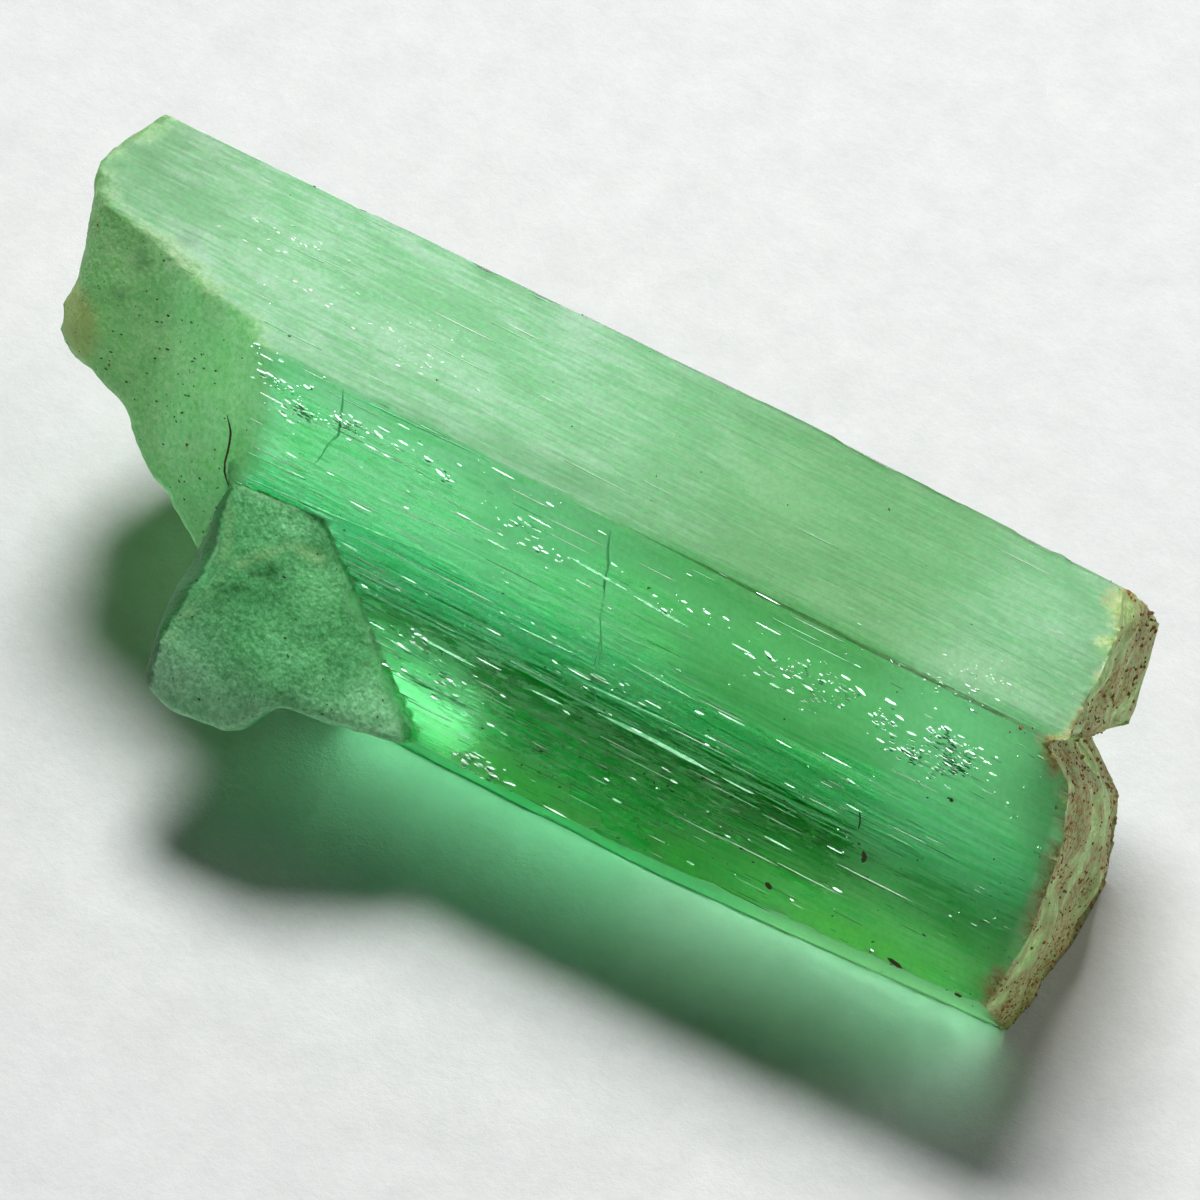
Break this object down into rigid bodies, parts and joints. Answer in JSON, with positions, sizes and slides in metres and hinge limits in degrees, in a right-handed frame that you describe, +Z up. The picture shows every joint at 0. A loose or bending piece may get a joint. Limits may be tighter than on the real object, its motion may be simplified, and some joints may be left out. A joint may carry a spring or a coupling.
{
  "type": "rough emerald crystal",
  "caption": "Small hexagonal prism of clear green beryl lying on a side face, with broken ends, fine lengthwise striations and a broken side growth at its front left edge.",
  "frame": {"origin": "bottom centre of the crystal's bounding box, on the surface it lies on", "axes": "+Z up from the resting prism face; +X along the prism to its square-broken end; -Y the side with the broken side growth"},
  "size_m": [0.0122, 0.0058, 0.0044],
  "materials": {
    "emerald": "glossy striated prism faces, frosted breaks with brown iron stain"
  },
  "bodies": {
    "root": {"emerald_crystal": "emerald"}
  },
  "joints": []
}
